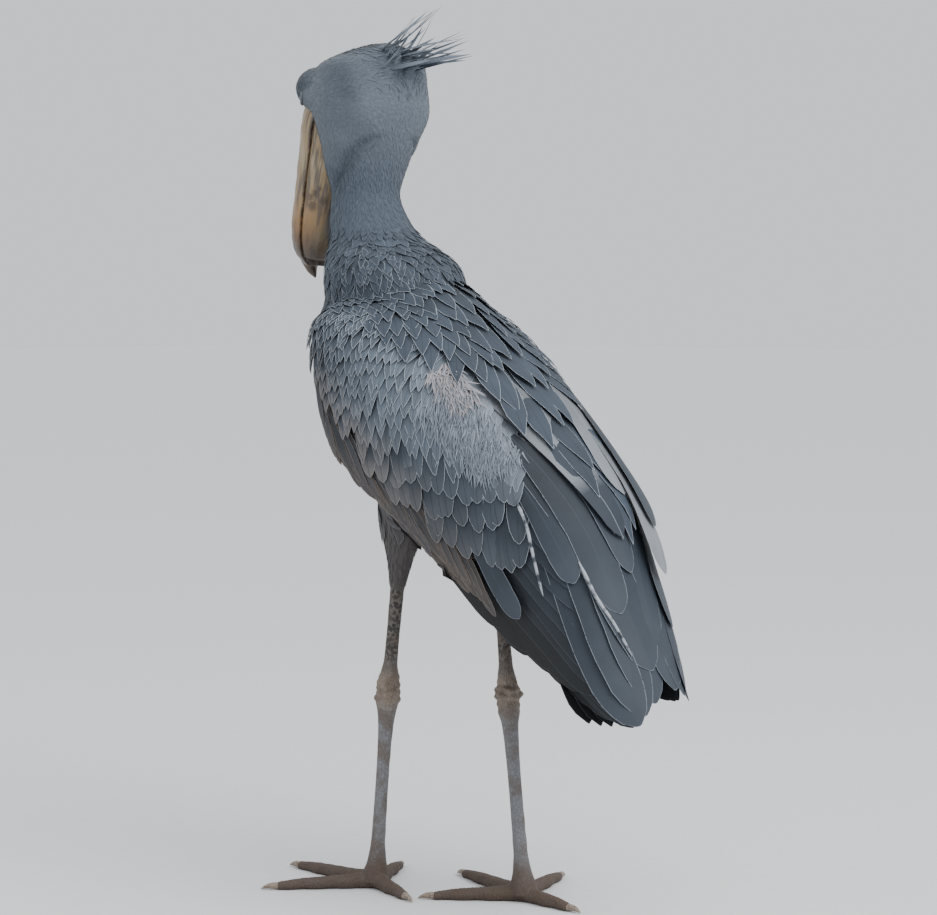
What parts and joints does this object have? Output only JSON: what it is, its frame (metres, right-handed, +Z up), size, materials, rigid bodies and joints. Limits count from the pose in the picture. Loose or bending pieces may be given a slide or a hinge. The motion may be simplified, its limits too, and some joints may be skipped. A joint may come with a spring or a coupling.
{
  "type": "shoebill",
  "caption": "Life-size still model of a standing shoebill with folded wings, a crest and a huge hooked bill laid down along its neck.",
  "frame": {"origin": "floor level under the middle of the bounding box", "axes": "+X the way the body heads, +Y the bird's left, +Z up"},
  "size_m": [0.6486, 0.3256, 1.1155],
  "materials": {
    "head_plumage": "soft matt blue-grey feathers",
    "body_plumage": "matt slate feathers with thin pale edges",
    "wing_plumage": "satin dark slate feathers, paler on the coverts",
    "bill_horn": "satin straw-coloured horn with grey-brown marks",
    "eye": "wet gloss, pale iris round a black pupil",
    "leg_skin": "dry scaly grey-brown skin",
    "claw_horn": "worn dull horn"
  },
  "bodies": {
    "root": {"torso": "body_plumage", "neck": "head_plumage", "head": "head_plumage", "bill_upper": "bill_horn", "bill_lower": "bill_horn", "eye_left": "eye", "eye_right": "eye", "wing_left": "wing_plumage", "wing_right": "wing_plumage", "tail": "wing_plumage", "thigh_left": "body_plumage", "shank_left": "leg_skin", "tarsus_left": "leg_skin", "foot_left": "leg_skin", "claw_left_1": "claw_horn", "claw_left_2": "claw_horn", "claw_left_3": "claw_horn", "claw_left_4": "claw_horn", "thigh_right": "body_plumage", "shank_right": "leg_skin", "tarsus_right": "leg_skin", "foot_right": "leg_skin", "claw_right_1": "claw_horn", "claw_right_2": "claw_horn", "claw_right_3": "claw_horn", "claw_right_4": "claw_horn"}
  },
  "joints": []
}
